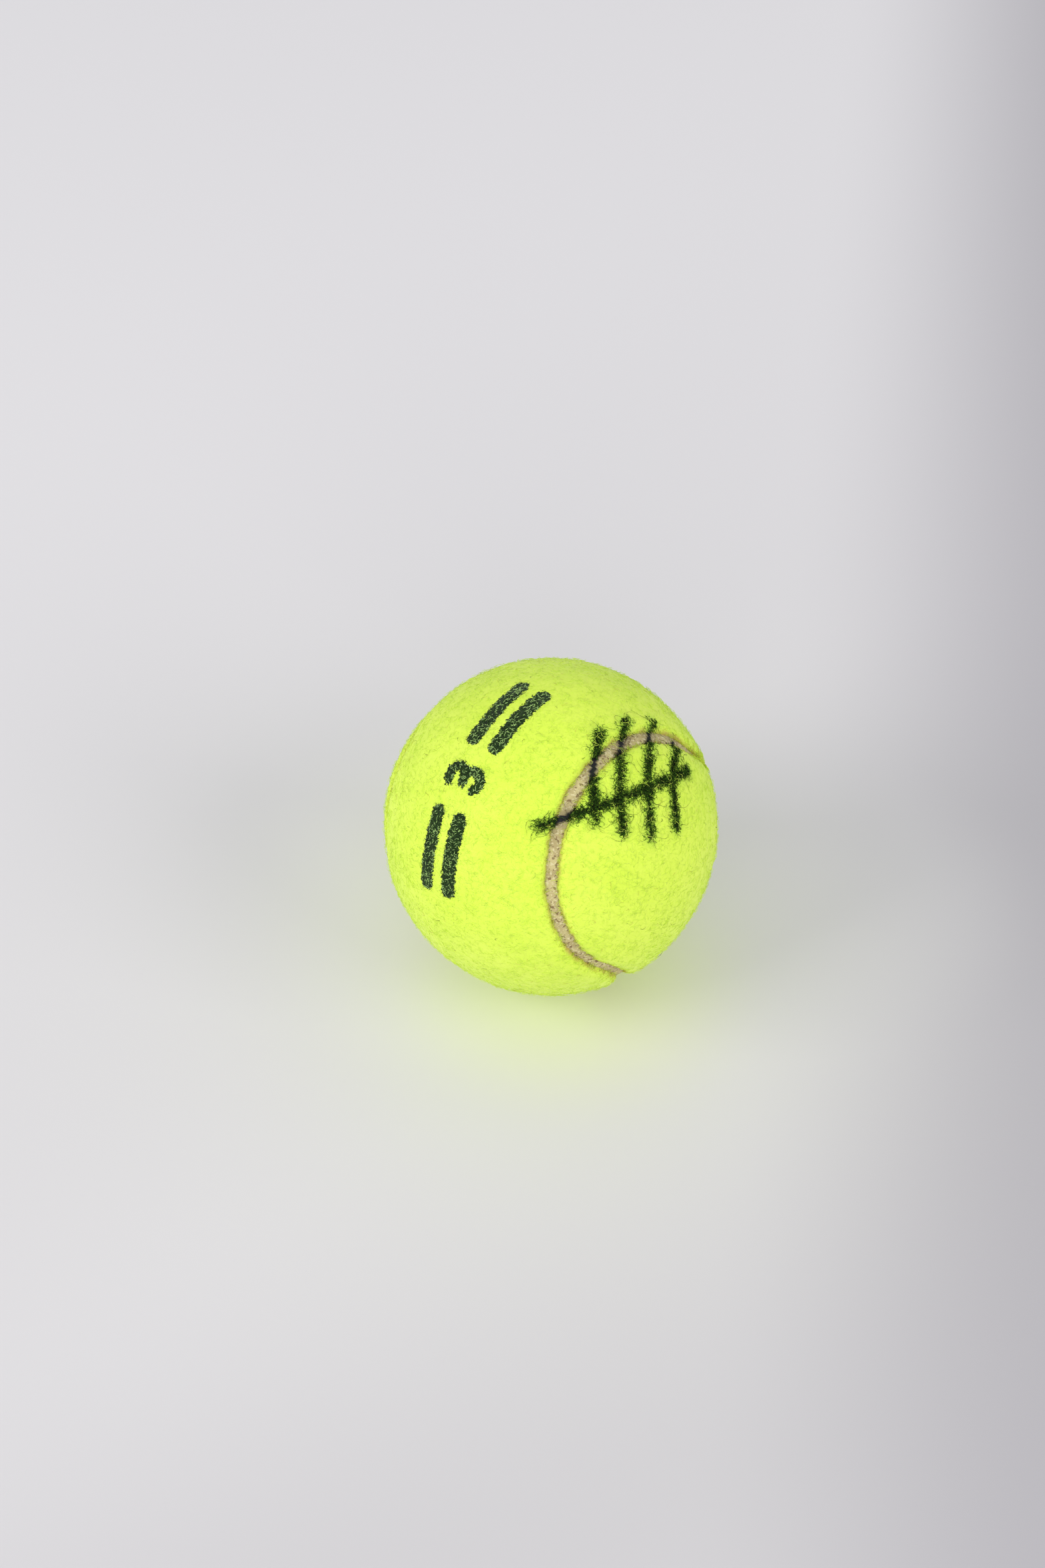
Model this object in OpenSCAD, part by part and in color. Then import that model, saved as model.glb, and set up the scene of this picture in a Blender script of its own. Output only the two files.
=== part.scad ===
// Tennis ball. Two moulded rubber half shells are cemented into a hollow core, and two
// dumbbell-shaped felt panels are bonded round it, edge to edge along a rubber seam.
// The origin is the ball's centre, and +Z is up as the ball lies on a table.

/* [Ball] */
// Diameter over the felt
ball_d = 67; // [65.4:0.1:68.6]

/* [Core] */
// Wall of each rubber half shell
shell_wall = 3.4; // [2.4:0.1:5]
// Cement between the rims of the half shells
joint_t = 0.3; // [0.1:0.05:0.6]
// Chamfer inside each rim, which the squeezed-out cement fills
rim_chamfer = 0.7; // [0.3:0.1:1.2]
// How far the bead of cement stands into the hollow core
bead_h = 0.4; // [0.2:0.1:0.8]
// Rubber solution brushed over the scuffed core
core_coat_t = 0.2; // [0.1:0.05:0.5]

/* [Felt cover] */
// Thickness of the felt, weave and raised nap together
felt_t = 3.1; // [2.4:0.1:4]
// Rubber spread on the back of the felt
back_coat_t = 0.3; // [0.1:0.05:0.6]
// Rounding of the felt's nap where it turns down to the seam
nap_edge_r = 1.6; // [1:0.1:2.2]
// Narrowest width of a panel, from seam to seam, over the felt
waist_w = 49; // [38:0.5:52]

/* [Seam] */
// Width of the seam rubber at its top
seam_w = 2.6; // [1.6:0.1:4]
// Depth of the seam rubber below the felt
seam_recess = 1.2; // [0.6:0.1:1.8]

/* [Lie] */
// Turn of the seam about X as the ball lies
lie_x_deg = 39.5; // [-180:0.5:180]
// Turn of the seam about Y
lie_y_deg = 13; // [-180:0.5:180]
// Turn of the seam about Z
lie_z_deg = -74.5; // [-180:0.5:180]

/* [Hidden] */
$fn = 96;

// Radii, from the felt inwards
ball_r = ball_d / 2;
weave_r = ball_r - felt_t;
coated_r = weave_r - back_coat_t;
core_r = coated_r - core_coat_t;
hollow_r = core_r - shell_wall;
seam_r = ball_r - seam_recess;
beyond_r = 2 * ball_r;

// The seam is four equal arcs of small circles, which meet smoothly where they cross
// the ball's middle. Each arc goes round the end of one panel and the waist of the other.
// half_waist is the angle at the ball's centre from a panel's middle to its seam.
half_waist = waist_w / ball_r * 90 / PI;
end_tilt = atan2(cos(half_waist), sqrt(1 / 2) - sin(half_waist));
end_reach = end_tilt - half_waist;
arc_sweep = 2 * acos(-cos(end_tilt) / (sin(end_tilt) * tan(end_reach)));
half_seam = seam_w / seam_r * 90 / PI;

// A point at radius r, at angle a from the axis of a revolved profile
function polar(r, a) = [r * sin(a), r * cos(a)];

module sector_2d(a, b) {
    polygon([[0, 0], polar(beyond_r, a), polar(beyond_r, (a + b) / 2), polar(beyond_r, b)]);
}

module band_2d(r_in, r_out, a, b) {
    difference() {
        intersection() {
            circle(r_out);
            sector_2d(a, b);
        }
        circle(r_in);
    }
}

// The strip beside a panel's edge, from the edge at angle a to where the rounding of
// radius round_r runs out on the felt. way is 1 or -1, away from the seam.
module edge_2d(r_in, r_out, a, round_r, way) {
    centre_r = r_out - round_r;
    centre_a = a + way * asin(round_r / centre_r);
    difference() {
        union() {
            polygon([[0, 0], polar(sqrt(pow(centre_r, 2) - pow(round_r, 2)), a), polar(centre_r, centre_a)]);
            intersection() {
                translate(polar(centre_r, centre_a)) circle(round_r);
                sector_2d(a, centre_a);
            }
        }
        circle(r_in);
    }
}

// How far the rounding reaches in from a panel's edge, in degrees
function rounding_angle(r_out, round_r) = asin(round_r / (r_out - round_r));

// Both ends of a panel, with +Z of the child through the middle of the end
module at_both_ends() {
    for (azimuth = [45, 225]) rotate([0, end_tilt, azimuth]) children();
}

// Revolves a profile through the arc that the seam makes round a panel's end
module round_the_end(sweep = arc_sweep, middle = 180) {
    rotate(middle - sweep / 2) rotate_extrude(angle = sweep) children();
}

module panel(r_in, r_out, round_r) {
    rounded = rounding_angle(r_out, round_r);
    end_a = end_reach - half_seam;
    waist_a = end_reach + half_seam;
    at_both_ends() {
        round_the_end() band_2d(r_in, r_out, 0, end_a - rounded);
        if (round_r > 0) round_the_end() edge_2d(r_in, r_out, end_a, round_r, -1);
    }
    difference() {
        for (azimuth = [45, 225]) intersection() {
            rotate([0, end_tilt, azimuth]) round_the_end(360 - arc_sweep, 0) difference() {
                circle(r_out);
                circle(r_in);
                translate([-beyond_r, -beyond_r]) square([beyond_r, 2 * beyond_r]);
            }
            rotate(azimuth) translate([0, -beyond_r, -beyond_r]) cube([beyond_r, 2 * beyond_r, 2 * beyond_r]);
        }
        rotate([180, 0, 0]) at_both_ends() rotate_extrude() sector_2d(0, waist_a + rounded);
    }
    if (round_r > 0) rotate([180, 0, 0]) at_both_ends()
        round_the_end() edge_2d(r_in, r_out, waist_a, round_r, 1);
}

// Radius of the hollow at a height z from the joint
function hollow_at(z) = sqrt(pow(hollow_r, 2) - pow(z, 2));

// Half thickness of the cement at the core's face, and the bead's half height inside
joint_half = joint_t / 2;
bead_half = joint_half + rim_chamfer;
bead_in = hollow_at(bead_half) - bead_h;
bead_r = (pow(bead_half, 2) + pow(bead_h, 2)) / (2 * bead_h);

// The joint between the rims, which widens into their chamfers and opens to the hollow
module joint_2d() {
    polygon([
        [bead_in, bead_half], [bead_in + bead_h, bead_half], [hollow_r + rim_chamfer, joint_half],
        [beyond_r, joint_half], [beyond_r, -joint_half],
        [hollow_r + rim_chamfer, -joint_half], [bead_in + bead_h, -bead_half], [bead_in, -bead_half],
    ]);
}

module half_shell() {
    rotate_extrude() difference() {
        band_2d(hollow_r, core_r, 0, 90);
        joint_2d();
    }
}

module as_it_lies() {
    rotate([lie_x_deg, lie_y_deg, lie_z_deg]) children();
}

module core_half_lower() {
    color("#3a3733") as_it_lies() rotate([180, 0, 0]) half_shell();
}

module core_half_upper() {
    color("#3a3733") as_it_lies() half_shell();
}

module core_joint_cement() {
    color("#b09a78") as_it_lies() rotate_extrude() difference() {
        intersection() {
            joint_2d();
            circle(core_r);
        }
        difference() {
            translate([0, -bead_half]) square([bead_in + bead_h, 2 * bead_half]);
            translate([bead_in + bead_r, 0]) circle(bead_r);
        }
    }
}

module core_coat() {
    color("#8f8069") as_it_lies() difference() {
        sphere(coated_r);
        sphere(core_r);
    }
}

module panel_a_back_coat() {
    color("#b7a583") as_it_lies() panel(coated_r, weave_r, 0);
}

module panel_b_back_coat() {
    color("#b7a583") as_it_lies() rotate([180, 0, 0]) panel(coated_r, weave_r, 0);
}

module felt_panel_a() {
    color("#dcf542") as_it_lies() panel(weave_r, ball_r, nap_edge_r);
}

module felt_panel_b() {
    color("#dcf542") as_it_lies() rotate([180, 0, 0]) panel(weave_r, ball_r, nap_edge_r);
}

// The ring of rubber follows the four arcs without a break. A step along it is one
// cross-section, with its corners on the two panel edges.
arc_steps = 44;
ring_steps = 4 * arc_steps;

// Which arc a step lies on, and how far round it, in degrees from its middle
function arc_of(step) = floor(step / arc_steps) % 4;
function turn_of(step) = arc_sweep * ((step % arc_steps) / arc_steps - 0.5);

// A point at radius r on the ring, on one edge (side 1) or the other (side -1)
function ring_point(step, r, side) =
    let (
        arc = arc_of(step),
        half_of_ball = arc % 2 == 0 ? 1 : -1,
        azimuth = 45 + 90 * arc,
        away = end_reach + side * half_of_ball * half_seam,
        axis = [sin(end_tilt) * cos(azimuth), sin(end_tilt) * sin(azimuth), half_of_ball * cos(end_tilt)],
        up = [-cos(end_tilt) * cos(azimuth), -cos(end_tilt) * sin(azimuth), half_of_ball * sin(end_tilt)],
        across = [-sin(azimuth), cos(azimuth), 0]
    )
    r * (cos(away) * axis + sin(away) * (cos(turn_of(step)) * up + sin(turn_of(step)) * across));

function cross_section(step) = [
    ring_point(step, coated_r, -1), ring_point(step, coated_r, 1),
    ring_point(step, seam_r, 1), ring_point(step, seam_r, -1),
];

module seam_rubber() {
    corner = function(step, k) 4 * (step % ring_steps) + k % 4;
    color("#c9b48f") as_it_lies() polyhedron(
        points = [for (step = [0:ring_steps - 1]) each cross_section(step)],
        faces = [
            for (step = [0:ring_steps - 1], k = [0:3])
                each [
                    [corner(step, k), corner(step, k + 1), corner(step + 1, k)],
                    [corner(step, k + 1), corner(step + 1, k + 1), corner(step + 1, k)],
                ]
        ]
    );
}

core_half_lower();
core_half_upper();
core_joint_cement();
core_coat();
panel_a_back_coat();
panel_b_back_coat();
felt_panel_a();
felt_panel_b();
seam_rubber();
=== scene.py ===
import math

import bmesh
import bpy
import numpy as np
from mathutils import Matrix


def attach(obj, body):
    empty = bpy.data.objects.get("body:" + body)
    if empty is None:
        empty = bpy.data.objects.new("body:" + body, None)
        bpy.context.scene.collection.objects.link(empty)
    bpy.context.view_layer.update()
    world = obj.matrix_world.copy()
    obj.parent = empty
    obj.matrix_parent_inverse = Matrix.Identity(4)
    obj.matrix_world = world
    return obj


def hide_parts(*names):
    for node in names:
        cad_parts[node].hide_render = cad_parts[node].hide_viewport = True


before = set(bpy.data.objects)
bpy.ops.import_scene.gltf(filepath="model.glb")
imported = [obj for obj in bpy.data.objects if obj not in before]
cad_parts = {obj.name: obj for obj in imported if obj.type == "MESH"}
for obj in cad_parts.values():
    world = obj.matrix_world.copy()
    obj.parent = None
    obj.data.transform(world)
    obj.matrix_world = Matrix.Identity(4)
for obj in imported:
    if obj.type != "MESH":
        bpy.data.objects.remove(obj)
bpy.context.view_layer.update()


# Camera. An 85 mm lens about 0.74 m from the ball, looking down at 44 degrees, with the ball a
# little right of the frame's middle and below it.
PHOTO_W, PHOTO_H = 1568, 2352
BALL_X, BALL_Y = 826.5, 1239.7
LENS, SENSOR = 85, 36
DISTANCE = 0.740
ELEVATION = math.radians(44)
FOCAL_PX = LENS / SENSOR * PHOTO_H
right = np.array([1.0, 0.0, 0.0])
up = np.array([0.0, math.sin(ELEVATION), math.cos(ELEVATION)])
back = np.array([0.0, -math.cos(ELEVATION), math.sin(ELEVATION)])
aside = (BALL_X - PHOTO_W / 2) / FOCAL_PX * right
below = (BALL_Y - PHOTO_H / 2) / FOCAL_PX * up
eye = DISTANCE * (back - aside + below)

scene = bpy.context.scene
camera = bpy.data.objects.new("camera", bpy.data.cameras.new("camera"))
scene.collection.objects.link(camera)
camera.data.lens = LENS
camera.data.sensor_width = SENSOR
camera.location = eye
camera.rotation_euler = (math.pi / 2 - ELEVATION, 0, 0)
scene.camera = camera


# Core. Two half shells of dark rubber are moulded, cemented rim to rim and brushed with rubber
# solution, and the backs of the felt panels are coated with it too. Nothing shows these pieces,
# so they keep their solids and only get their finish.
class Nodes:
    """Writes the nodes of a material or a group as sums of values."""

    def __init__(self, tree):
        self.tree = tree

    def add(self, kind, **settings):
        node = self.tree.nodes.new(kind)
        for key, value in settings.items():
            setattr(node, key, value)
        return node

    def put(self, value, socket):
        if isinstance(value, bpy.types.NodeSocket):
            self.tree.links.new(value, socket)
        elif value is not None:
            socket.default_value = value

    def math(self, operation, *values):
        node = self.add("ShaderNodeMath", operation=operation)
        for value, socket in zip(values, node.inputs):
            self.put(value, socket)
        return node.outputs[0]

    def hypot(self, a, b):
        squares = self.math("ADD", self.math("MULTIPLY", a, a), self.math("MULTIPLY", b, b))
        return self.math("SQRT", squares)

    def measure(self, operation, vector, other=None):
        """A dot product, a distance or a length, as one value."""
        node = self.add("ShaderNodeVectorMath", operation=operation)
        self.put(vector, node.inputs[0])
        self.put(other, node.inputs[1])
        return node.outputs["Value"]

    def noise(self, vector, scale, detail=2.0, distortion=0.0):
        node = self.add("ShaderNodeTexNoise")
        self.put(vector, node.inputs["Vector"])
        node.inputs["Scale"].default_value = scale
        node.inputs["Detail"].default_value = detail
        node.inputs["Distortion"].default_value = distortion
        return node.outputs["Fac"]

    def ramp(self, value, low, high, start=0.0, end=1.0):
        """A smooth step from start to end, as the value goes from low to high."""
        node = self.add("ShaderNodeMapRange", interpolation_type="SMOOTHSTEP")
        names = ("Value", "From Min", "From Max", "To Min", "To Max")
        for name, number in zip(names, (value, low, high, start, end)):
            self.put(number, node.inputs[name])
        return node.outputs["Result"]

    def mix(self, factor, a, b):
        node = self.add("ShaderNodeMix", data_type="RGBA")
        self.put(factor, node.inputs[0])
        self.put(a, node.inputs[6])
        self.put(b, node.inputs[7])
        return node.outputs[2]

    def tint(self, colour, mask, share, towards):
        """The colour, mixed towards another by up to that share where the mask is 1."""
        return self.mix(self.math("MULTIPLY", mask, share), colour, towards)

    def group(self, group, **values):
        node = self.add("ShaderNodeGroup", node_tree=group)
        for name, value in values.items():
            self.put(value, node.inputs[name])
        return node.outputs

    def place(self):
        return self.add("ShaderNodeTexCoord").outputs["Object"]

    def value_of(self, name):
        return self.add("ShaderNodeAttribute", attribute_name=name).outputs["Fac"]

    def bump(self, height, strength, distance):
        node = self.add("ShaderNodeBump")
        self.put(height, node.inputs["Height"])
        node.inputs["Strength"].default_value = strength
        node.inputs["Distance"].default_value = distance
        return node.outputs["Normal"]


def new_material(name, roughness, **constants):
    """A material, its helper, and its shader, whose constant numbers sit on its own sockets."""
    material = bpy.data.materials.new(name)
    material.use_nodes = True
    shader = material.node_tree.nodes["Principled BSDF"]
    shader.inputs["Roughness"].default_value = roughness
    for key, value in constants.items():
        shader.inputs[key.replace("_", " ")].default_value = value
    return material, Nodes(material.node_tree), shader


def rubber(name, roughness, specular, dark, pale, patches, grain, depth):
    """Rubber in uneven patches of two tones, with a fine grain. Both are a noise's settings."""
    material, n, shader = new_material(name, roughness, Specular_IOR_Level=specular)
    place = n.place()
    n.put(n.mix(n.ramp(n.noise(place, *patches), 0.3, 0.7), dark, pale), shader.inputs["Base Color"])
    n.put(n.bump(n.noise(place, *grain), depth, 0.0002), shader.inputs["Normal"])
    return material


moulded = rubber(
    "core_rubber", 0.7, 0.3, (0.035, 0.033, 0.030, 1), (0.055, 0.050, 0.045, 1), (260, 3), (1400, 3), 0.4,
)
brushed = rubber(
    "rubber_solution", 0.6, 0.35, (0.36, 0.27, 0.16, 1), (0.50, 0.39, 0.25, 1), (180, 4, 0.5), (700, 2, 0.8), 0.5,
)
for node, material in (
    ("core_half_lower", moulded), ("core_half_upper", moulded), ("core_joint_cement", brushed),
    ("core_coat", brushed), ("panel_a_back_coat", brushed), ("panel_b_back_coat", brushed),
):
    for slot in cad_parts[node].material_slots:
        slot.material = material


# Cover. Two dumbbells of felt lie edge to edge over the core. Their seam is four equal arcs of
# small circles, each round the end of one panel and the waist of the other. Sizes are in
# millimetres, as the solids have them, and the ball lies turned by three angles.
BALL_R, SEAM_R, WEAVE_R = 33.5, 32.3, 30.4
HALF_SEAM = 1.3
WAIST_W = 49
LIE_X, LIE_Y, LIE_Z = 39.5, 13, -74.5
half_waist = WAIST_W / BALL_R / 2
end_tilt = math.atan2(math.cos(half_waist), math.sqrt(0.5) - math.sin(half_waist))
end_reach = end_tilt - half_waist
half_sweep = math.acos(-1 / (math.tan(end_tilt) * math.tan(end_reach)))


def turn(axis, degrees):
    """The matrix of a turn about X, Y or Z, which are axes 0, 1 and 2."""
    c, s = math.cos(math.radians(degrees)), math.sin(math.radians(degrees))
    i, j = [(1, 2), (2, 0), (0, 1)][axis]
    m = np.eye(3)
    m[i, i], m[i, j], m[j, i], m[j, j] = c, -s, s, c
    return m


lie = turn(2, LIE_Z) @ turn(1, LIE_Y) @ turn(0, LIE_X)
# Each arc has the axis of its circle, and the directions from which its turns are counted.
arcs = []
for k in range(4):
    azimuth, half = math.radians(45 + 90 * k), (1, -1)[k % 2]
    outward = np.array([math.cos(azimuth), math.sin(azimuth), 0])
    pole = np.array([0, 0, half])
    axis = math.sin(end_tilt) * outward + math.cos(end_tilt) * pole
    top = -math.cos(end_tilt) * outward + math.sin(end_tilt) * pole
    across = np.array([-outward[1], outward[0], 0])
    arcs.append(lie @ np.array([axis, top, across]).T)


def seam_point(share, side_mm):
    """Directions at shares of the way round the seam, side_mm off its middle towards panel A."""
    k = np.floor(share * 4).astype(int) % 4
    t = ((share * 4) % 1 * 2 - 1) * half_sweep
    away = end_reach - np.where(k % 2, -1, 1) * side_mm / BALL_R
    axes = np.array(arcs)[k]
    return (
        np.cos(away)[:, None] * axes[:, :, 0]
        + (np.sin(away) * np.cos(t))[:, None] * axes[:, :, 1]
        + (np.sin(away) * np.sin(t))[:, None] * axes[:, :, 2]
    )


def seam_field(d):
    """Millimetres from the seam's middle, positive on panel A, and the share of the way round it."""
    best = np.full(len(d), 1e9)
    side = np.zeros(len(d))
    share = np.zeros(len(d))
    for k, arc in enumerate(arcs):
        x, y, z = d @ arc[:, 0], d @ arc[:, 1], d @ arc[:, 2]
        t = np.clip(np.arctan2(z, y), -half_sweep, half_sweep)
        round_arc = np.cos(t)[:, None] * arc[:, 1] + np.sin(t)[:, None] * arc[:, 2]
        near = math.cos(end_reach) * arc[:, 0] + math.sin(end_reach) * round_arc
        gap = np.arccos(np.clip((d * near).sum(1), -1, 1))
        closer = gap < best
        inside = np.arccos(np.clip(x, -1, 1)) < end_reach
        best = np.where(closer, gap, best)
        side = np.where(closer, np.where(inside == (k % 2 == 0), 1, -1), side)
        share = np.where(closer, (k + t / half_sweep / 2 + 0.5) / 4, share)
    return best * side * BALL_R, share


# Print. A plain numeral between two pairs of bars is stamped in dark green ink along panel B's
# waist. The ink lies on top of the nap, so its edge is the same on the weave and on the fibres.
PRINT_MIDDLE = np.array([-0.510, -0.380, 0.772])
PRINT_ALONG = np.array([0.439, 0.657, 0.613])
PRINT_ACROSS = np.cross(PRINT_MIDDLE, PRINT_ALONG)
BAR_FROM, BAR_TO, BAR_OFF, BAR_HALF = 8.2, 23.0, 2.8, 1.7
BAR_MIDDLE, BAR_REACH = (BAR_FROM + BAR_TO) / 2, (BAR_TO - BAR_FROM) / 2
FIGURE_HALF, BOWL_R, BOWL_OPEN, BOWL_LEAN = 1.15, 1.9, math.radians(125), math.radians(12)


def new_group(name, inputs, outputs):
    """A node group with these sockets, its helper, and the sockets inside it."""
    tree = bpy.data.node_groups.new(name, "ShaderNodeTree")
    for socket, kind in inputs:
        tree.interface.new_socket(socket, in_out="INPUT", socket_type="NodeSocket" + kind)
    for socket, kind in outputs:
        tree.interface.new_socket(socket, in_out="OUTPUT", socket_type="NodeSocket" + kind)
    n = Nodes(tree)
    return tree, n, n.add("NodeGroupInput").outputs, n.add("NodeGroupOutput").inputs


print_ink, n, given, out = new_group("Print", [("Vector", "Vector")], [("Ink", "Float")])
place = given["Vector"]
ragged = n.math("ADD", n.noise(place, 1500, 2), n.math("MULTIPLY", n.noise(place, 3300, 1), 0.8))
# The place on the band, in millimetres along and across it.
ahead, middle = n.measure("DOT_PRODUCT", place, PRINT_ALONG), n.measure("DOT_PRODUCT", place, PRINT_MIDDLE)
along = n.math("MULTIPLY", n.math("ARCTAN2", ahead, middle), BALL_R)
sideways = n.math("DIVIDE", n.measure("DOT_PRODUCT", place, PRINT_ACROSS), n.measure("LENGTH", place))
across = n.math("MULTIPLY", n.math("ARCSINE", sideways), BALL_R)
# Two pairs of bars with round ends, one pair on each side of the numeral.
from_middle = n.math("ABSOLUTE", n.math("SUBTRACT", n.math("ABSOLUTE", along), BAR_MIDDLE))
past = n.math("MAXIMUM", n.math("SUBTRACT", from_middle, BAR_REACH), 0.0)
beside = n.math("SUBTRACT", n.math("ABSOLUTE", across), BAR_OFF)
outside = n.math("SUBTRACT", n.hypot(past, beside), BAR_HALF)
# The numeral is two open bowls, one above the other across the band.
for middle, lean in ((BOWL_R, -BOWL_LEAN), (-BOWL_R, BOWL_LEAN)):
    y = n.math("SUBTRACT", across, middle)
    rise = n.math("ADD", n.math("MULTIPLY", y, math.cos(lean)), n.math("MULTIPLY", along, math.sin(lean)))
    run = n.math("SUBTRACT", n.math("MULTIPLY", along, math.cos(lean)), n.math("MULTIPLY", y, math.sin(lean)))
    angle = n.math("ABSOLUTE", n.math("ARCTAN2", rise, run))
    off_end = n.math("MULTIPLY", n.math("MAXIMUM", n.math("SUBTRACT", angle, BOWL_OPEN), 0.0), BOWL_R)
    off_line = n.math("SUBTRACT", n.hypot(along, y), BOWL_R)
    bowl = n.math("SUBTRACT", n.hypot(off_end, off_line), FIGURE_HALF)
    outside = n.math("MINIMUM", outside, bowl)
outside = n.math("ADD", outside, n.math("MULTIPLY", n.math("SUBTRACT", ragged, 0.9), 1.5))
n.put(n.ramp(outside, 0.12, -0.12), out["Ink"])


def print_distance(d):
    """How far outside the printed shapes directions d lie, in millimetres."""
    x = np.arctan2(d @ PRINT_ALONG, d @ PRINT_MIDDLE) * BALL_R
    y = np.arcsin(np.clip(d @ PRINT_ACROSS, -1, 1)) * BALL_R
    past = np.maximum(np.abs(np.abs(x) - BAR_MIDDLE) - BAR_REACH, 0)
    found = np.hypot(past, np.abs(y) - BAR_OFF) - BAR_HALF
    for middle in (BOWL_R, -BOWL_R):
        found = np.minimum(found, np.abs(np.hypot(x, y - middle) - BOWL_R) - FIGURE_HALF)
    return np.where(d @ PRINT_MIDDLE > 0, found, 99)


# Pen marks. Four upright strokes and a slanting one across them, drawn by hand with a felt pen on
# the end of panel A and over the seam. The pen dyes the fibres, which are ruffled afterwards.

# Each stroke has its points, in the photograph's pixels, and half its width in millimetres.
STROKES = [
    ([(902, 1096), (890, 1160), (894, 1234)], 0.65),
    ([(940, 1076), (931, 1155), (936, 1252)], 0.7),
    ([(981, 1078), (973, 1160), (979, 1262)], 0.65),
    ([(1017, 1106), (1011, 1172), (1018, 1246)], 0.6),
    ([(804, 1240), (880, 1217), (960, 1188), (1040, 1152)], 0.75),
]
STROKES_MIDDLE = (930, 1170)
STROKE_STEPS, SMOOTHED = 60, 13


def unit(vectors):
    return vectors / np.linalg.norm(vectors, axis=-1, keepdims=True)


def on_ball(pixels):
    """Directions from the ball's centre to the points of it that these pixels show."""
    p = np.asarray(pixels, float)
    rightwards = (p[:, :1] - PHOTO_W / 2) / FOCAL_PX * right
    downwards = (p[:, 1:] - PHOTO_H / 2) / FOCAL_PX * up
    ray = unit(rightwards - downwards - back)
    along = -(ray @ eye) * 1000
    reach = along - np.sqrt(np.maximum(along**2 - (eye @ eye * 1e6 - BALL_R**2), 0))
    return unit(eye * 1000 + ray * reach[:, None])


def lattice(p, seed):
    """Smooth noise from -1 to 1 with one cell per unit. Large primes mix the cells' numbers."""
    cell = np.floor(p).astype(np.int64)
    f = p - cell
    f = f * f * (3 - 2 * f)
    total = np.zeros(len(p))
    for corner in range(8):
        step = np.array([corner & 1, corner >> 1 & 1, corner >> 2])
        q = cell + step
        h = q[:, 0] * 73856093 ^ q[:, 1] * 19349663 ^ q[:, 2] * 83492791 ^ seed * 2654435761
        h = (h ^ (h >> 13)) * 1274126177 & 0x7FFFFFFF
        h = ((h ^ (h >> 15)) & 0xFFFF) / 32767.5 - 1
        total += h * np.prod(np.where(step, f, 1 - f), axis=1)
    return total


stroke_points = []
for pixels, half in STROKES:
    corners = np.array(pixels, float)
    t = np.linspace(0, len(corners) - 1, STROKE_STEPS)
    curve = []
    for values in corners.T:
        straight = np.pad(np.interp(t, range(len(corners)), values), SMOOTHED // 2, "edge")
        curve.append(np.convolve(straight, np.ones(SMOOTHED) / SMOOTHED, "valid"))
    stroke_points.append((on_ball(np.array(curve).T), half))


def pen_distance(d):
    """How far outside the pen's strokes directions d lie, in millimetres, and 9 far from them."""
    found = np.full(len(d), 9.0)
    close = d @ on_ball([STROKES_MIDDLE])[0] > 0.75
    for points, half in stroke_points:
        gap = np.arccos(np.clip(d[close] @ points.T, -1, 1)).min(1) * BALL_R - half
        found[close] = np.minimum(found[close], gap)
    return found


def pen_share(d):
    """The pen's ink from 0 to 1: ragged strokes with a faint stain round them."""
    gap = pen_distance(d)
    rough = gap + 0.25 + 0.6 * lattice(d * 40, 21) + 0.6 * lattice(d * 95, 22)
    stroke = 0.8 * np.clip(0.5 - rough / 0.5, 0, 1)
    return np.maximum(stroke, 0.13 * np.exp(-((np.maximum(gap, 0) / 1.5) ** 2)))


# Felt. Wool and nylon nap over a woven ground, dyed fluorescent yellow. Each panel is cut as a
# dumbbell, its edges are dipped in cement, which stains them brown, and it is stretched over the
# core and bonded to it. The brown at the cut edge is also painted shade where the edge rolls
# down. Its nap is brushed up, so its cut edge is wavy and its shoulder is round.
FRONT_CELLS, BACK_CELLS = 168, 44
BACK_R = WEAVE_R + 0.1
NAP_BASE_DEPTH = 0.34
SHOULDER_W, SHOULDER_H = 2.3, 1.0
PUFF_H, PUFF_AT, PUFF_W = 0.12, 3.2, 1.6
TOP_RISE = 0.35
EDGE_OVERHANG, EDGE_BRUSHED_OVER = 0.14, 0.85
STAIN_AND_SHADE_W = 0.45
YELLOW, BRIGHT_YELLOW = (0.70, 0.925, 0.075, 1), (0.76, 0.96, 0.10, 1)
HOLLOW_SHADE, RAISED_THREAD_LIGHT, PALE_HAIR = (0.60, 0.83, 0.05, 1), (0.82, 0.97, 0.16, 1), (0.86, 0.98, 0.20, 1)
BROWN_HAIR, CEMENT_STAIN_AND_EDGE_SHADE = (0.52, 0.37, 0.055, 1), (0.49, 0.35, 0.09, 1)
INK_HOLLOW_SHADE_AND_DARK, INK_THREAD_LIGHT_AND_PALE = (0.002, 0.009, 0.001, 1), (0.047, 0.115, 0.018, 1)
PEN_THIN, PEN_THICK = (0.36, 0.80, 0.045, 1), (0.05, 0.095, 0.012, 1)

felt_colour, n, given, out = new_group(
    "Felt Colour",
    [("Vector", "Vector"), ("Pen", "Float"), ("Shade", "Float"), ("Cement", "Float")],
    [("Color", "Color"), ("Height", "Float")],
)
place, pen, shade = given["Vector"], given["Pen"], given["Shade"]
fine = n.noise(place, 850, 3, 0.6)
threads = n.noise(place, 1500, 2, 1.2)
off_ridge = n.math("ABSOLUTE", n.math("SUBTRACT", n.math("MULTIPLY", threads, 2.0), 1.0))
thread = n.ramp(n.math("SUBTRACT", 1.0, off_ridge), 0.80, 1.0)
colour = n.mix(n.ramp(n.noise(place, 90, 3), 0.3, 0.7), YELLOW, BRIGHT_YELLOW)
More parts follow.
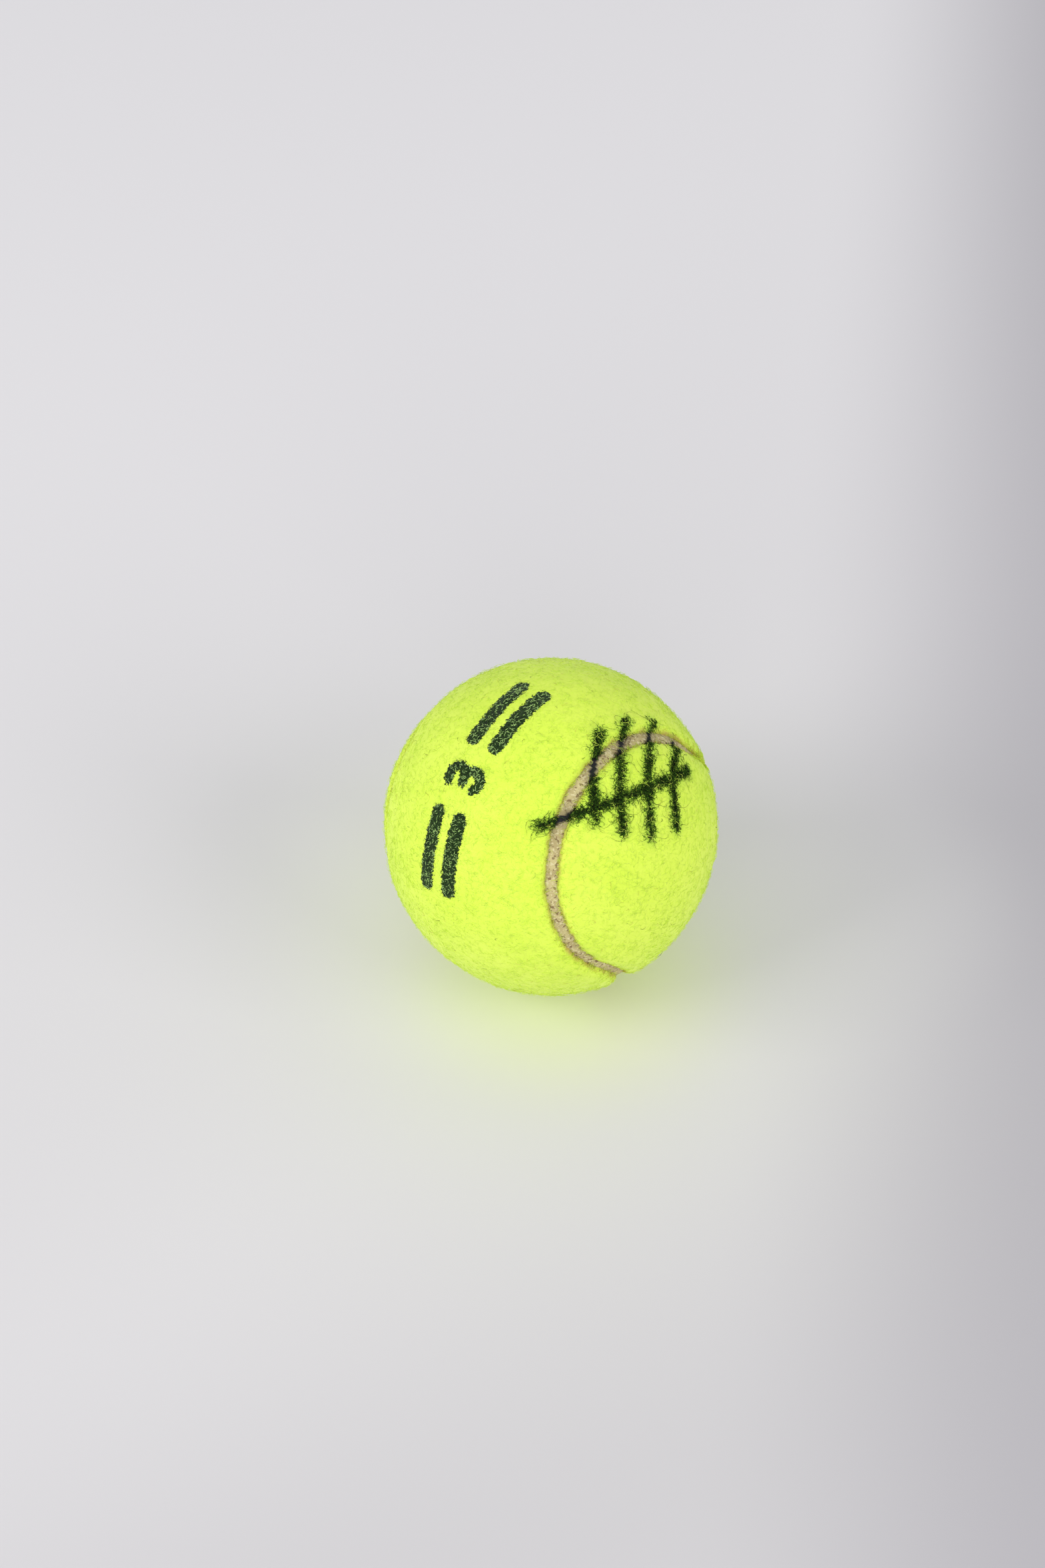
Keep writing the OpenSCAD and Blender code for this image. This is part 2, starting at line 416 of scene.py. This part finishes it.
# Painted shade and light: darker in the hollows of the bump, and lighter along its raised threads.
colour = n.tint(colour, n.ramp(fine, 0.62, 0.30), 0.11, HOLLOW_SHADE)
colour = n.tint(colour, thread, 0.18, RAISED_THREAD_LIGHT)
colour = n.tint(colour, n.ramp(shade, 0.1, 1.0), 0.22, PALE_HAIR)
colour = n.tint(colour, n.ramp(shade, 0.055, 0.045), 0.75, BROWN_HAIR)
# The cement stain: a real brown that also stands in as painted shade along the rolled cut edge.
colour = n.mix(given["Cement"], colour, CEMENT_STAIN_AND_EDGE_SHADE)
ink = n.group(print_ink, Vector=place)["Ink"]
# Under the ink, a fibre's own tone is real. The lighter raised threads and the darker hollows between them are
# painted light and shade.
thread_light_and_tone = n.math("ADD", n.math("MULTIPLY", thread, 0.4), n.math("MULTIPLY", shade, 0.6))
colour = n.mix(ink, colour, n.mix(thread_light_and_tone, INK_HOLLOW_SHADE_AND_DARK, INK_THREAD_LIGHT_AND_PALE))
# Thin pen ink over the yellow is green, and thick ink is nearly black.
colour = n.tint(colour, n.ramp(pen, 0.0, 0.2), 0.5, PEN_THIN)
colour = n.mix(pen, colour, PEN_THICK)
n.put(colour, out["Color"])
n.put(n.math("ADD", n.math("MULTIPLY", fine, 0.6), n.math("MULTIPLY", thread, 0.4)), out["Height"])

felt, n, shader = new_material("felt", 0.92, Sheen_Weight=0.2, Specular_IOR_Level=0.15)
parts = n.group(
    felt_colour, Vector=n.place(), Pen=n.value_of("pen"), Shade=0.1, Cement=n.value_of("cement"),
)
n.put(parts["Color"], shader.inputs["Base Color"])
n.put(n.bump(parts["Height"], 0.3, 0.00015), shader.inputs["Normal"])


def overgrown(d):
    """Where the nap is brushed over the rubber, on the ball's right side: from 0 to 1."""
    return np.clip((d @ np.array([0.902, 0.258, 0.345]) - 0.945) / 0.045, 0, 1)


def edge_at(d):
    """Millimetres from the seam's middle line to the felt's wavy edge. The seam is widest on top."""
    wide = 0.28 * np.clip(d @ np.array([0.33, -0.29, 0.90]), 0, 1) ** 4
    return (
        HALF_SEAM - EDGE_OVERHANG + wide
        + 0.20 * lattice(d * 14, 5) + 0.24 * lattice(d * 38, 6) - EDGE_BRUSHED_OVER * overgrown(d)
    )


def felt_radius(d, from_edge):
    """Radius of the felt's surface along directions d, from_edge millimetres in from its edge."""
    shoulder = np.clip(from_edge / SHOULDER_W, 0, 1)
    drop = SHOULDER_H * (1 - np.sqrt(np.clip(1 - (1 - shoulder) ** 2, 0, 1))) * (1 - 0.3 * overgrown(d))
    puff = PUFF_H * np.exp(-(((from_edge - PUFF_AT) / PUFF_W) ** 2))
    loose = 0.09 * lattice(d * 5, 1) + 0.03 * lattice(d * 11, 2)
    nap = 0.011 * lattice(d * 34, 3) + 0.007 * lattice(d * 75, 4)
    rise = TOP_RISE * (d @ up) ** 2
    return BALL_R - NAP_BASE_DEPTH + rise + puff - drop + loose + nap * np.clip(from_edge, 0.2, 1)


def places(bm):
    return np.array([v.co for v in bm.verts])


def panel_sheet(cells, side):
    """Panel A (side 1) or B (side -1), trimmed out of a finely cut cube that is blown up to a ball."""
    bm = bmesh.new()
    bmesh.ops.create_cube(bm, size=2)
    bmesh.ops.subdivide_edges(bm, edges=bm.edges, cuts=cells - 1, use_grid_fill=True)
    d = unit(np.tan(places(bm) * math.pi / 4))
    beyond = edge_at(d) - seam_field(d)[0] * side > 0.45 * math.pi / 2 * BALL_R / cells
    for v, p in zip(bm.verts, d):
        v.co = p
    bm.verts.index_update()
    # A face with one corner beyond the edge keeps the half inside it.
    for face in list(bm.faces):
        corners = list(face.verts)
        outside = [i for i in range(4) if beyond[corners[i].index]]
        if len(outside) == 1:
            bmesh.utils.face_split(face, corners[outside[0] - 1], corners[(outside[0] + 1) % 4])
    bmesh.ops.delete(bm, geom=[v for v in bm.verts if beyond[v.index]], context="VERTS")
    bmesh.ops.delete(bm, geom=[v for v in bm.verts if not v.link_faces], context="VERTS")
    # The rim moves onto the edge.
    rim = [v for v in bm.verts if v.is_boundary]
    at = np.array([v.co for v in rim])
    for _ in range(2):
        at = seam_point(seam_field(at)[1], side * edge_at(at))
    for v, p in zip(rim, at):
        v.co = p
    return bm


def mesh_of(bm, name):
    mesh = bpy.data.meshes.new(name)
    bm.to_mesh(mesh)
    bm.free()
    return mesh


def give(mesh, name, values):
    """Stores one value for each point of the mesh, for its material to read by that name."""
    mesh.attributes.new(name, "FLOAT", "POINT").data.foreach_set("value", values)


def add_piece(name, mesh, material, *nodes):
    """A shaded piece that rides on the ball and stands for those CAD nodes."""
    mesh.materials.append(material)
    mesh.shade_smooth()
    piece = bpy.data.objects.new(name, mesh)
    scene.collection.objects.link(piece)
    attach(piece, "root")
    if nodes:
        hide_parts(*nodes)
    return piece


def felt_panel(name, node, side):
    """One panel as a closed form: the nap's surface, its cut edge and its back."""
    bm = panel_sheet(FRONT_CELLS, side)
    d = unit(places(bm))
    radius = felt_radius(d, np.abs(seam_field(d)[0]) - edge_at(d))
    for v, p, r in zip(bm.verts, d, radius):
        v.co = p * r / 1000
    # The cut edge goes down beside the seam rubber, to the weave's back.
    rim = [e for e in bm.edges if e.is_boundary]
    for level in (SEAM_R - 0.5, BACK_R):
        made = bmesh.ops.extrude_edge_only(bm, edges=rim)["geom"]
        rim = [g for g in made if isinstance(g, bmesh.types.BMEdge)]
        for v in (g for g in made if isinstance(g, bmesh.types.BMVert)):
            v.co = v.co.normalized() * level / 1000
    # The back lies on the rubber coat. It is coarser, and joins the cut edge all round.
    back_sheet = panel_sheet(BACK_CELLS, side)
    bmesh.ops.reverse_faces(back_sheet, faces=back_sheet.faces)
    for v in back_sheet.verts:
        v.co = v.co.normalized() * BACK_R / 1000
    spare = mesh_of(back_sheet, "spare")
    before = set(bm.verts)
    bm.from_mesh(spare)
    bpy.data.meshes.remove(spare)
    inner_rim = [e for e in bm.edges if e.is_boundary and e.verts[0] not in before]
    bmesh.ops.bridge_loops(bm, edges=rim + inner_rim)
    bmesh.ops.triangulate(bm, faces=[f for f in bm.faces if len(f.verts) > 4])
    bm.verts.index_update()
    # The map unrolls the panel along its length, with its hidden back in a strip of its own.
    axis = lie @ np.array([math.sqrt(0.5), math.sqrt(0.5) * side, 0])
    middle = lie @ np.array([0, 0, -side])
    cross = np.cross(middle, axis)
    layer = bm.loops.layers.uv.new("OFBake")
    co = places(bm)
    r = np.linalg.norm(co, axis=1)
    u = 0.5 + np.arctan2(co @ axis, co @ middle) / math.radians(306)
    w = 0.5 + np.arcsin(np.clip(co @ cross / r, -1, 1)) / math.radians(100)
    hidden = r < (SEAM_R - 0.45) / 1000
    for face in bm.faces:
        under = any(hidden[v.index] for v in face.verts)
        for loop in face.loops:
            i = loop.vert.index
            loop[layer].uv = (u[i], 0.93 + 0.06 * w[i] if under else 0.01 + 0.9 * w[i])
    mesh = mesh_of(bm, name)
    d = co / r[:, None]
    give(mesh, "pen", pen_share(d) * (r > SEAM_R / 1000))
    # The cement stain, real brown and painted edge shade, fades in from the cut edge.
    in_from_edge = np.abs(seam_field(d)[0]) - edge_at(d)
    patchy = np.clip(0.65 + 0.6 * lattice(d * 22, 8), 0, 0.95)
    give(mesh, "cement", np.exp(-((in_from_edge / STAIN_AND_SHADE_W) ** 2)) * patchy)
    piece = add_piece(name, mesh, felt, node)


felt_panel("felt_nap_a", "felt_panel_a", 1)
felt_panel("felt_nap_b", "felt_panel_b", -1)


# Seam rubber. Pale rubber cement from the dipped panel edges fills the gap between them. The
# mould leaves it grainy, with dark specks and stray lint pressed in, and the pen's ink smears on it.
RINGS, MAP_ROWS = 1500, 15
# The ring's section: millimetres off the seam's middle line, and radius.
SECTION = [
    (-1.9, 30.6), (-1.9, 31.7), (-1.65, 32.0), (-1.2, 32.2), (-0.6, 32.33), (0, 32.37),
    (0.6, 32.33), (1.2, 32.2), (1.65, 32.0), (1.9, 31.7), (1.9, 30.6),
]
SMOOTH_BELOW = 31
RUBBER_SHADOW, RUBBER_PALE, LINT = (0.44, 0.355, 0.165, 1), (0.61, 0.53, 0.25, 1), (0.78, 0.71, 0.43, 1)
SPECK, PEN_ON_RUBBER = (0.16, 0.09, 0.035, 1), (0.010, 0.010, 0.012, 1)

seam_rubber, n, shader = new_material("seam_rubber", 0.75, Specular_IOR_Level=0.3)
place = n.place()
grain = n.noise(place, 1900, 2)
patch = n.noise(place, 420, 3)
tone = n.mix(n.ramp(patch, 0.3, 0.7), RUBBER_SHADOW, RUBBER_PALE)
tone = n.tint(tone, n.ramp(grain, 0.52, 0.64), 0.7, LINT)
tone = n.tint(tone, n.ramp(n.noise(place, 1500, 1), 0.42, 0.33), 0.75, SPECK)
tone = n.mix(n.value_of("pen"), tone, PEN_ON_RUBBER)
n.put(tone, shader.inputs["Base Color"])
n.put(n.ramp(grain, 0.3, 0.7, 0.62, 0.88), shader.inputs["Roughness"])
n.put(n.bump(n.math("ADD", grain, n.math("MULTIPLY", patch, 0.6)), 0.7, 0.00018), shader.inputs["Normal"])

side_mm, level = np.array(SECTION).T
bm = bmesh.new()
bmesh.ops.create_grid(bm, x_segments=RINGS, y_segments=len(SECTION), size=1)
grid = (np.array([v.co[:2] for v in bm.verts]) + 1) / 2
step = np.round(grid * (RINGS, len(SECTION))).astype(int)
# Each fifteenth of the ring's length has a row of its own in the map.
row_rings = RINGS // MAP_ROWS
layer = bm.loops.layers.uv.new("OFBake")
bm.verts.index_update()
for face in bm.faces:
    row = min(step[loop.vert.index, 0] for loop in face.loops) // row_rings
    for loop in face.loops:
        i, j = step[loop.vert.index]
        loop[layer].uv = (i / row_rings - row, (row + 0.05 + 0.9 * j / len(SECTION)) / MAP_ROWS)
# The grid is wrapped round the ring's section, and its ends meet.
k = step[:, 1] % len(SECTION)
d = seam_point(step[:, 0] / RINGS % 1, side_mm[k])
lumps = (0.05 * lattice(d * 40, 31) + 0.04 * lattice(d * 110, 32)) * (level[k] > SMOOTH_BELOW)
for v, p in zip(bm.verts, d * (level[k] + lumps)[:, None] / 1000):
    v.co = p
bmesh.ops.remove_doubles(bm, verts=bm.verts, dist=1e-7)
bmesh.ops.recalc_face_normals(bm, faces=bm.faces)
d = unit(places(bm))
mesh = mesh_of(bm, "seam_strip")
gap = pen_distance(d)
drawn = np.clip(0.5 - (gap + 0.25 * lattice(d * 90, 33)) / 0.25, 0, 1)
smeared = np.clip(0.28 + 0.2 * lattice(d * 20, 34), 0, 1) * np.exp(-((np.maximum(gap, 0) / 1.5) ** 2))
give(mesh, "pen", np.maximum(drawn, smeared))
strip = add_piece("seam_strip", mesh, seam_rubber, "seam_rubber")


# Loose fibres. Single hairs of wool and nylon stand out of the nap all over, and are rooted in the
# felt. Each is a thin curved thread, and a few are brown. The print and the pen marks have their
# own, so those places are left out here.
FUZZ_TRIED, PIECES_PER_PANEL = 50000, 3
ROOT_DEPTH = 0.12
# A fibre's shade goes from 0.06, dark, to 1, pale, and at 0 it is brown.
BROWN, DARKEST = 0, 0.06
SHEEN = (0.95, 1.0, 0.6, 1)

fibre, n, shader = new_material(
    "fibre", 0.85, Sheen_Weight=0.4, Sheen_Tint=SHEEN, Specular_IOR_Level=0.2,
)
parts = n.group(felt_colour, Vector=n.place(), Pen=0.0, Shade=n.value_of("shade"))
n.put(parts["Color"], shader.inputs["Base Color"])

random = np.random.default_rng(7)


def between(low, high, count):
    return random.uniform(low, high, count)


def scatter(count):
    """Even random directions over the ball."""
    return unit(random.normal(size=(count, 3)))


def thread_width(count):
    return between(0.05, 0.085, count)


def lay(d):
    """The way that the nap lies, as an angle that drifts over the ball."""
    return 1.1 + 1.6 * lattice(d * 3, 41) + 0.5 * lattice(d * 12, 42)


def tangents(d):
    """Two directions along the ball's surface at each of directions d."""
    pole = np.where(np.abs(d[:, 2:]) < 0.9, [[0, 0, 1.0]], [[1.0, 0, 0]])
    east = unit(np.cross(pole, d))
    return east, np.cross(d, east)


def fibres(name, material, roots, heading, length, lift, curl, width, shade, pen=0.0, steps=4, wiggle=0.5):
    """One piece of closed three-sided threads, with so many steps each.

    Roots are directions, headings angles round them, and lengths, lifts and widths millimetres.
    """
    count = len(roots)
    east, north = tangents(roots)
    t = np.linspace(0, 1, steps)
    bend = heading[:, None] + curl[:, None] * t + wiggle * np.sin(6 * t + heading[:, None] * 7)
    x = np.cumsum(np.cos(bend), 1) * length[:, None] / steps
    y = np.cumsum(np.sin(bend), 1) * length[:, None] / steps
    x -= x[:, :1]
    y -= y[:, :1]
    d = unit(roots[:, None] + (x[..., None] * east[:, None] + y[..., None] * north[:, None]) / BALL_R)
    flat = d.reshape(-1, 3)
    away = np.abs(seam_field(flat)[0]) - edge_at(flat)
    ground = np.where(away > 0, felt_radius(flat, np.maximum(away, 0)), SEAM_R + 0.1).reshape(count, steps)
    height = -ROOT_DEPTH + lift[:, None] * np.sin(np.clip(t * 2.6, 0, 2.4))[None] + 0.10 * t
    spine = d * (ground + height)[..., None]
    ahead = unit(np.gradient(spine, axis=1))
    side = unit(np.cross(ahead, d))
    outward = np.cross(side, ahead)
    half_width = (width[:, None] / 2 * np.interp(t, (0, 0.6, 1), (1, 0.95, 0.35)))[..., None]
    ring = []
    for k in range(3):
        a = 2 * math.pi * k / 3
        ring.append(spine + (math.cos(a) * side + math.sin(a) * outward) * half_width)
    quads = [
        [s * 3 + k, (s + 1) * 3 + k, (s + 1) * 3 + (k + 1) % 3, s * 3 + (k + 1) % 3]
        for s in range(steps - 1) for k in range(3)
    ]
    last = steps * 3 - 1
    ends = [[0, 1, 2], [last, last - 1, last - 2]]
    first = np.arange(count)[:, None, None] * steps * 3
    mesh = bpy.data.meshes.new(name)
    mesh.from_pydata(
        np.stack(ring, 2).reshape(-1, 3) / 1000, [],
        (first + quads).reshape(-1, 4).tolist() + (first + ends).reshape(-1, 3).tolist(),
    )
    give(mesh, "shade", np.repeat(shade, steps * 3))
    give(mesh, "pen", np.repeat(np.full(count, pen), steps * 3))
    # Each fibre has a cell of its own in the map.
    cells = math.ceil(math.sqrt(count))
    who, at = np.divmod(np.arange(count * steps * 3), steps * 3)
    u = (who % cells + 0.15 + 0.7 * (at // 3) / (steps - 1)) / cells
    v = (who // cells + 0.2 + 0.3 * (at % 3)) / cells
    loops = np.empty(len(mesh.loops), np.int32)
    mesh.loops.foreach_get("vertex_index", loops)
    mesh.uv_layers.new(name="OFBake").data.foreach_set("uv", np.c_[u[loops], v[loops]].ravel())
    piece = add_piece(name, mesh, material)


d = scatter(FUZZ_TRIED)
d = d[(print_distance(d) > 0) & (pen_distance(d) + between(-0.4, 0.4, len(d)) > 0)]
off = seam_field(d)[0]
clear = np.abs(off) > edge_at(d) + 0.1
for label, mine in (("a", d[clear & (off > 0)]), ("b", d[clear & (off < 0)])):
    for part, roots in enumerate(np.array_split(mine, PIECES_PER_PANEL), 1):
        m = len(roots)
        fibres(
            f"fuzz_{label}_{part}", fibre, roots,
            heading=lay(roots) + random.normal(0, 1.2, m),
            length=between(1.2, 3.2, m),
            lift=0.05 + 0.55 * random.random(m) ** 5,
            curl=random.normal(0, 1.3, m),
            width=thread_width(m),
            shade=np.where(random.random(m) < 0.012, BROWN, between(DARKEST, 1, m)),
        )


# Edge fibres. The nap of the cut edge leans over the seam rubber. The cement stains the nearest
# fibres brown, which also serves as painted shade along the edge, and the pen dyes those in its way.
EDGE_FIBRES = 9500
PALE_FIBRE = (0.47, 0.71, 0.24, 1)
DYED_DARK, DYED_GREEN = (0.007, 0.012, 0.005, 1), (0.06, 0.16, 0.014, 1)

# Fibres that took ink are dull. In the print some stay pale, and in the pen marks some turn green.
inked_fibre, n, shader = new_material("inked_fibre", 0.85, Specular_IOR_Level=0.05)
shade = n.value_of("shade")
printed = n.group(felt_colour, Vector=n.place(), Pen=0.0, Shade=shade)
ink = n.group(print_ink, Vector=n.place())["Ink"]
pale = n.math("MULTIPLY", n.math("MULTIPLY", ink, n.ramp(shade, 0.80, 0.82)), 0.95)
dyed = n.mix(n.ramp(shade, 0.3, 1.0), DYED_DARK, DYED_GREEN)
colour = n.mix(n.value_of("pen"), n.mix(pale, printed["Color"], PALE_FIBRE), dyed)
n.put(colour, shader.inputs["Base Color"])

m = EDGE_FIBRES
share = random.random(m)
edge = seam_point(share, np.zeros(m))
side = np.where(random.random(m) < 0.5, 1, -1)
inwards = between(0.05, 1.0, m)
roots = seam_point(share, side * (edge_at(edge) + inwards))
east, north = tangents(roots)
towards = np.arctan2(((edge - roots) * north).sum(1), ((edge - roots) * east).sum(1))
inked = pen_distance(roots) < between(-0.3, 0.5, m)
# More brown near the edge: the cement's stain, and painted shade on the rolled edge.
brown_stain_and_shade_share = 0.08 + 0.5 * np.exp(-((inwards / 0.4) ** 2))
fibres(
    "edge_fuzz", inked_fibre, roots,
    heading=towards + random.normal(0, 1.0, m),
    length=between(0.5, 1.5, m) + 1.2 * overgrown(roots),
    lift=between(0.02, 0.16, m) + 0.4 * overgrown(roots),
    curl=random.normal(0, 1.6, m),
    width=thread_width(m),
    shade=np.where(random.random(m) < brown_stain_and_shade_share, BROWN, between(DARKEST, 1, m)),
    pen=inked * 1.0,
)


# Printed fibres. The stamp presses the nap down, so its fibres lie flat in the ink. About a
# quarter of them took little ink and stand a little higher.
PRINT_TRIED = 230000
d = scatter(PRINT_TRIED)
d = d[print_distance(d) < 0.3]
m = len(d)
tone = between(DARKEST, 1, m)
fibres(
    "print_fuzz", inked_fibre, d,
    heading=lay(d) + random.normal(0, 0.8, m),
    length=between(0.6, 1.6, m),
    lift=between(0.02, 0.06, m) + 0.06 * (tone > 0.8),
    curl=random.normal(0, 1.2, m),
    width=between(0.09, 0.14, m),
    shade=tone,
)


# Pen fibres. The pen's tip ruffles and curls the fibres that it dyes. A few long ones stray off
# the strokes, and a few dark hairs lie elsewhere on the felt.
PEN_TRIED, LONE_HAIRS = 900000, 45
ANY_WAY = 6.3
d = scatter(PEN_TRIED)
gap = pen_distance(d)
on_felt = np.abs(seam_field(d)[0]) > edge_at(d)
patchy = 0.6 + 0.4 * lattice(d * 26, 23)
near = d[on_felt & (gap < random.exponential(0.34, len(d)) - 0.25) & (random.random(len(d)) < patchy)]
m = len(near)
outer = np.clip(pen_distance(near) + 0.3, 0, 0.6)
fibres(
    "pen_fuzz", inked_fibre, near,
    heading=between(0, ANY_WAY, m),
    length=between(0.8, 2.1, m),
    lift=between(0.03, 0.24, m),
    curl=random.normal(0, 2.6, m),
    width=between(0.08, 0.13, m),
    shade=np.clip(0.8 * random.random(m) + outer, 0, 1),
    pen=1.0, steps=6, wiggle=0.9,
)
around = d[on_felt & (gap < 0.4)]
stray = around[random.random(len(around)) < 0.012]
stray = np.concatenate([stray, scatter(LONE_HAIRS)])
m = len(stray)
fibres(
    "pen_strays", inked_fibre, stray,
    length=np.where(np.arange(m) < m - LONE_HAIRS, between(2.5, 7.0, m), between(0.8, 2.5, m)),
    heading=between(0, ANY_WAY, m),
    lift=between(0.1, 0.5, m),
    curl=random.normal(0, 3.0, m),
    width=between(0.045, 0.07, m),
    shade=random.random(m),
    pen=1.0, steps=10, wiggle=0.6,
)


# Floor and light. A pale, slightly glossy sheet, with a large soft lamp on each side and one in
# front, and even light from all round.
FLOOR_Z = -0.03365
LAMP_SIZE, LAMP_COLOUR = 1.5, (1.0, 0.985, 0.95)
SKY_COLOUR, SKY_POWER = (0.95, 0.965, 1.0, 1), 0.59

floor_paint, n, shader = new_material("floor_paint", 0.42, Specular_IOR_Level=0.35)
place = n.place()
paint = n.mix(n.ramp(n.noise(place, 3, 2), 0.3, 0.7), (0.71, 0.695, 0.715, 1), (0.745, 0.73, 0.75, 1))
# Painted light and shade: the sheet is painted paler far off on the left, and painted darker in front and on the
# right.
painted_light_far_left = n.ramp(n.measure("DOT_PRODUCT", place, (0.6, -0.8, 0)), 0.05, -0.25)
painted_shade_in_front = n.ramp(n.measure("DOT_PRODUCT", place, (0.6, -1, 0)), 0.03, 0.16)
painted_shade_on_right = n.ramp(n.measure("DOT_PRODUCT", place, (1, -0.12, 0)), 0.038, 0.115)
paint = n.mix(painted_light_far_left, paint, (0.79, 0.775, 0.795, 1))
paint = n.tint(paint, painted_shade_in_front, 0.5, (0.54, 0.525, 0.545, 1))
paint = n.mix(painted_shade_on_right, paint, (0.49, 0.475, 0.505, 1))
# Painted light: the sheet is palest round the ball and a little paler to its right, and a painted yellow glow of
# the ball's bounced light lies in front of it.
for middle, outer, inner, share, colour in (
    ((-0.010, 0.016, 0), 0.062, 0.016, 0.9, (0.84, 0.83, 0.82, 1)),
    ((0.062, 0.012, 0), 0.046, 0.008, 0.32, (0.84, 0.825, 0.83, 1)),
    ((0.006, -0.012, 0), 0.042, 0.002, 0.55, (0.85, 0.87, 0.56, 1)),
):
    paint = n.tint(paint, n.ramp(n.measure("DISTANCE", place, middle), outer, inner), share, colour)
n.put(paint, shader.inputs["Base Color"])

bm = bmesh.new()
bmesh.ops.create_grid(bm, x_segments=2, y_segments=2, size=4)
mesh = mesh_of(bm, "floor")
mesh.materials.append(floor_paint)
floor = bpy.data.objects.new("floor", mesh)
floor.location.z = FLOOR_Z
scene.collection.objects.link(floor)

for name, at, power in (
    ("left", (-2.0, -0.8, 1.3), 29.3),
    ("front", (0, -2.1, 0.85), 11),
    ("right", (1.8, -1.1, 1.1), 19.7),
):
    lamp = bpy.data.objects.new(name, bpy.data.lights.new(name, "AREA"))
    lamp.data.size = LAMP_SIZE
    lamp.data.color = LAMP_COLOUR
    lamp.data.energy = power
    lamp.location = at
    lamp.rotation_euler = (-lamp.location).to_track_quat("-Z", "Y").to_euler()
    scene.collection.objects.link(lamp)
world = bpy.data.worlds.new("world")
world.use_nodes = True
sky = world.node_tree.nodes["Background"]
sky.inputs["Color"].default_value = SKY_COLOUR
sky.inputs["Strength"].default_value = SKY_POWER
scene.world = world
scene.view_settings.view_transform = "Standard"
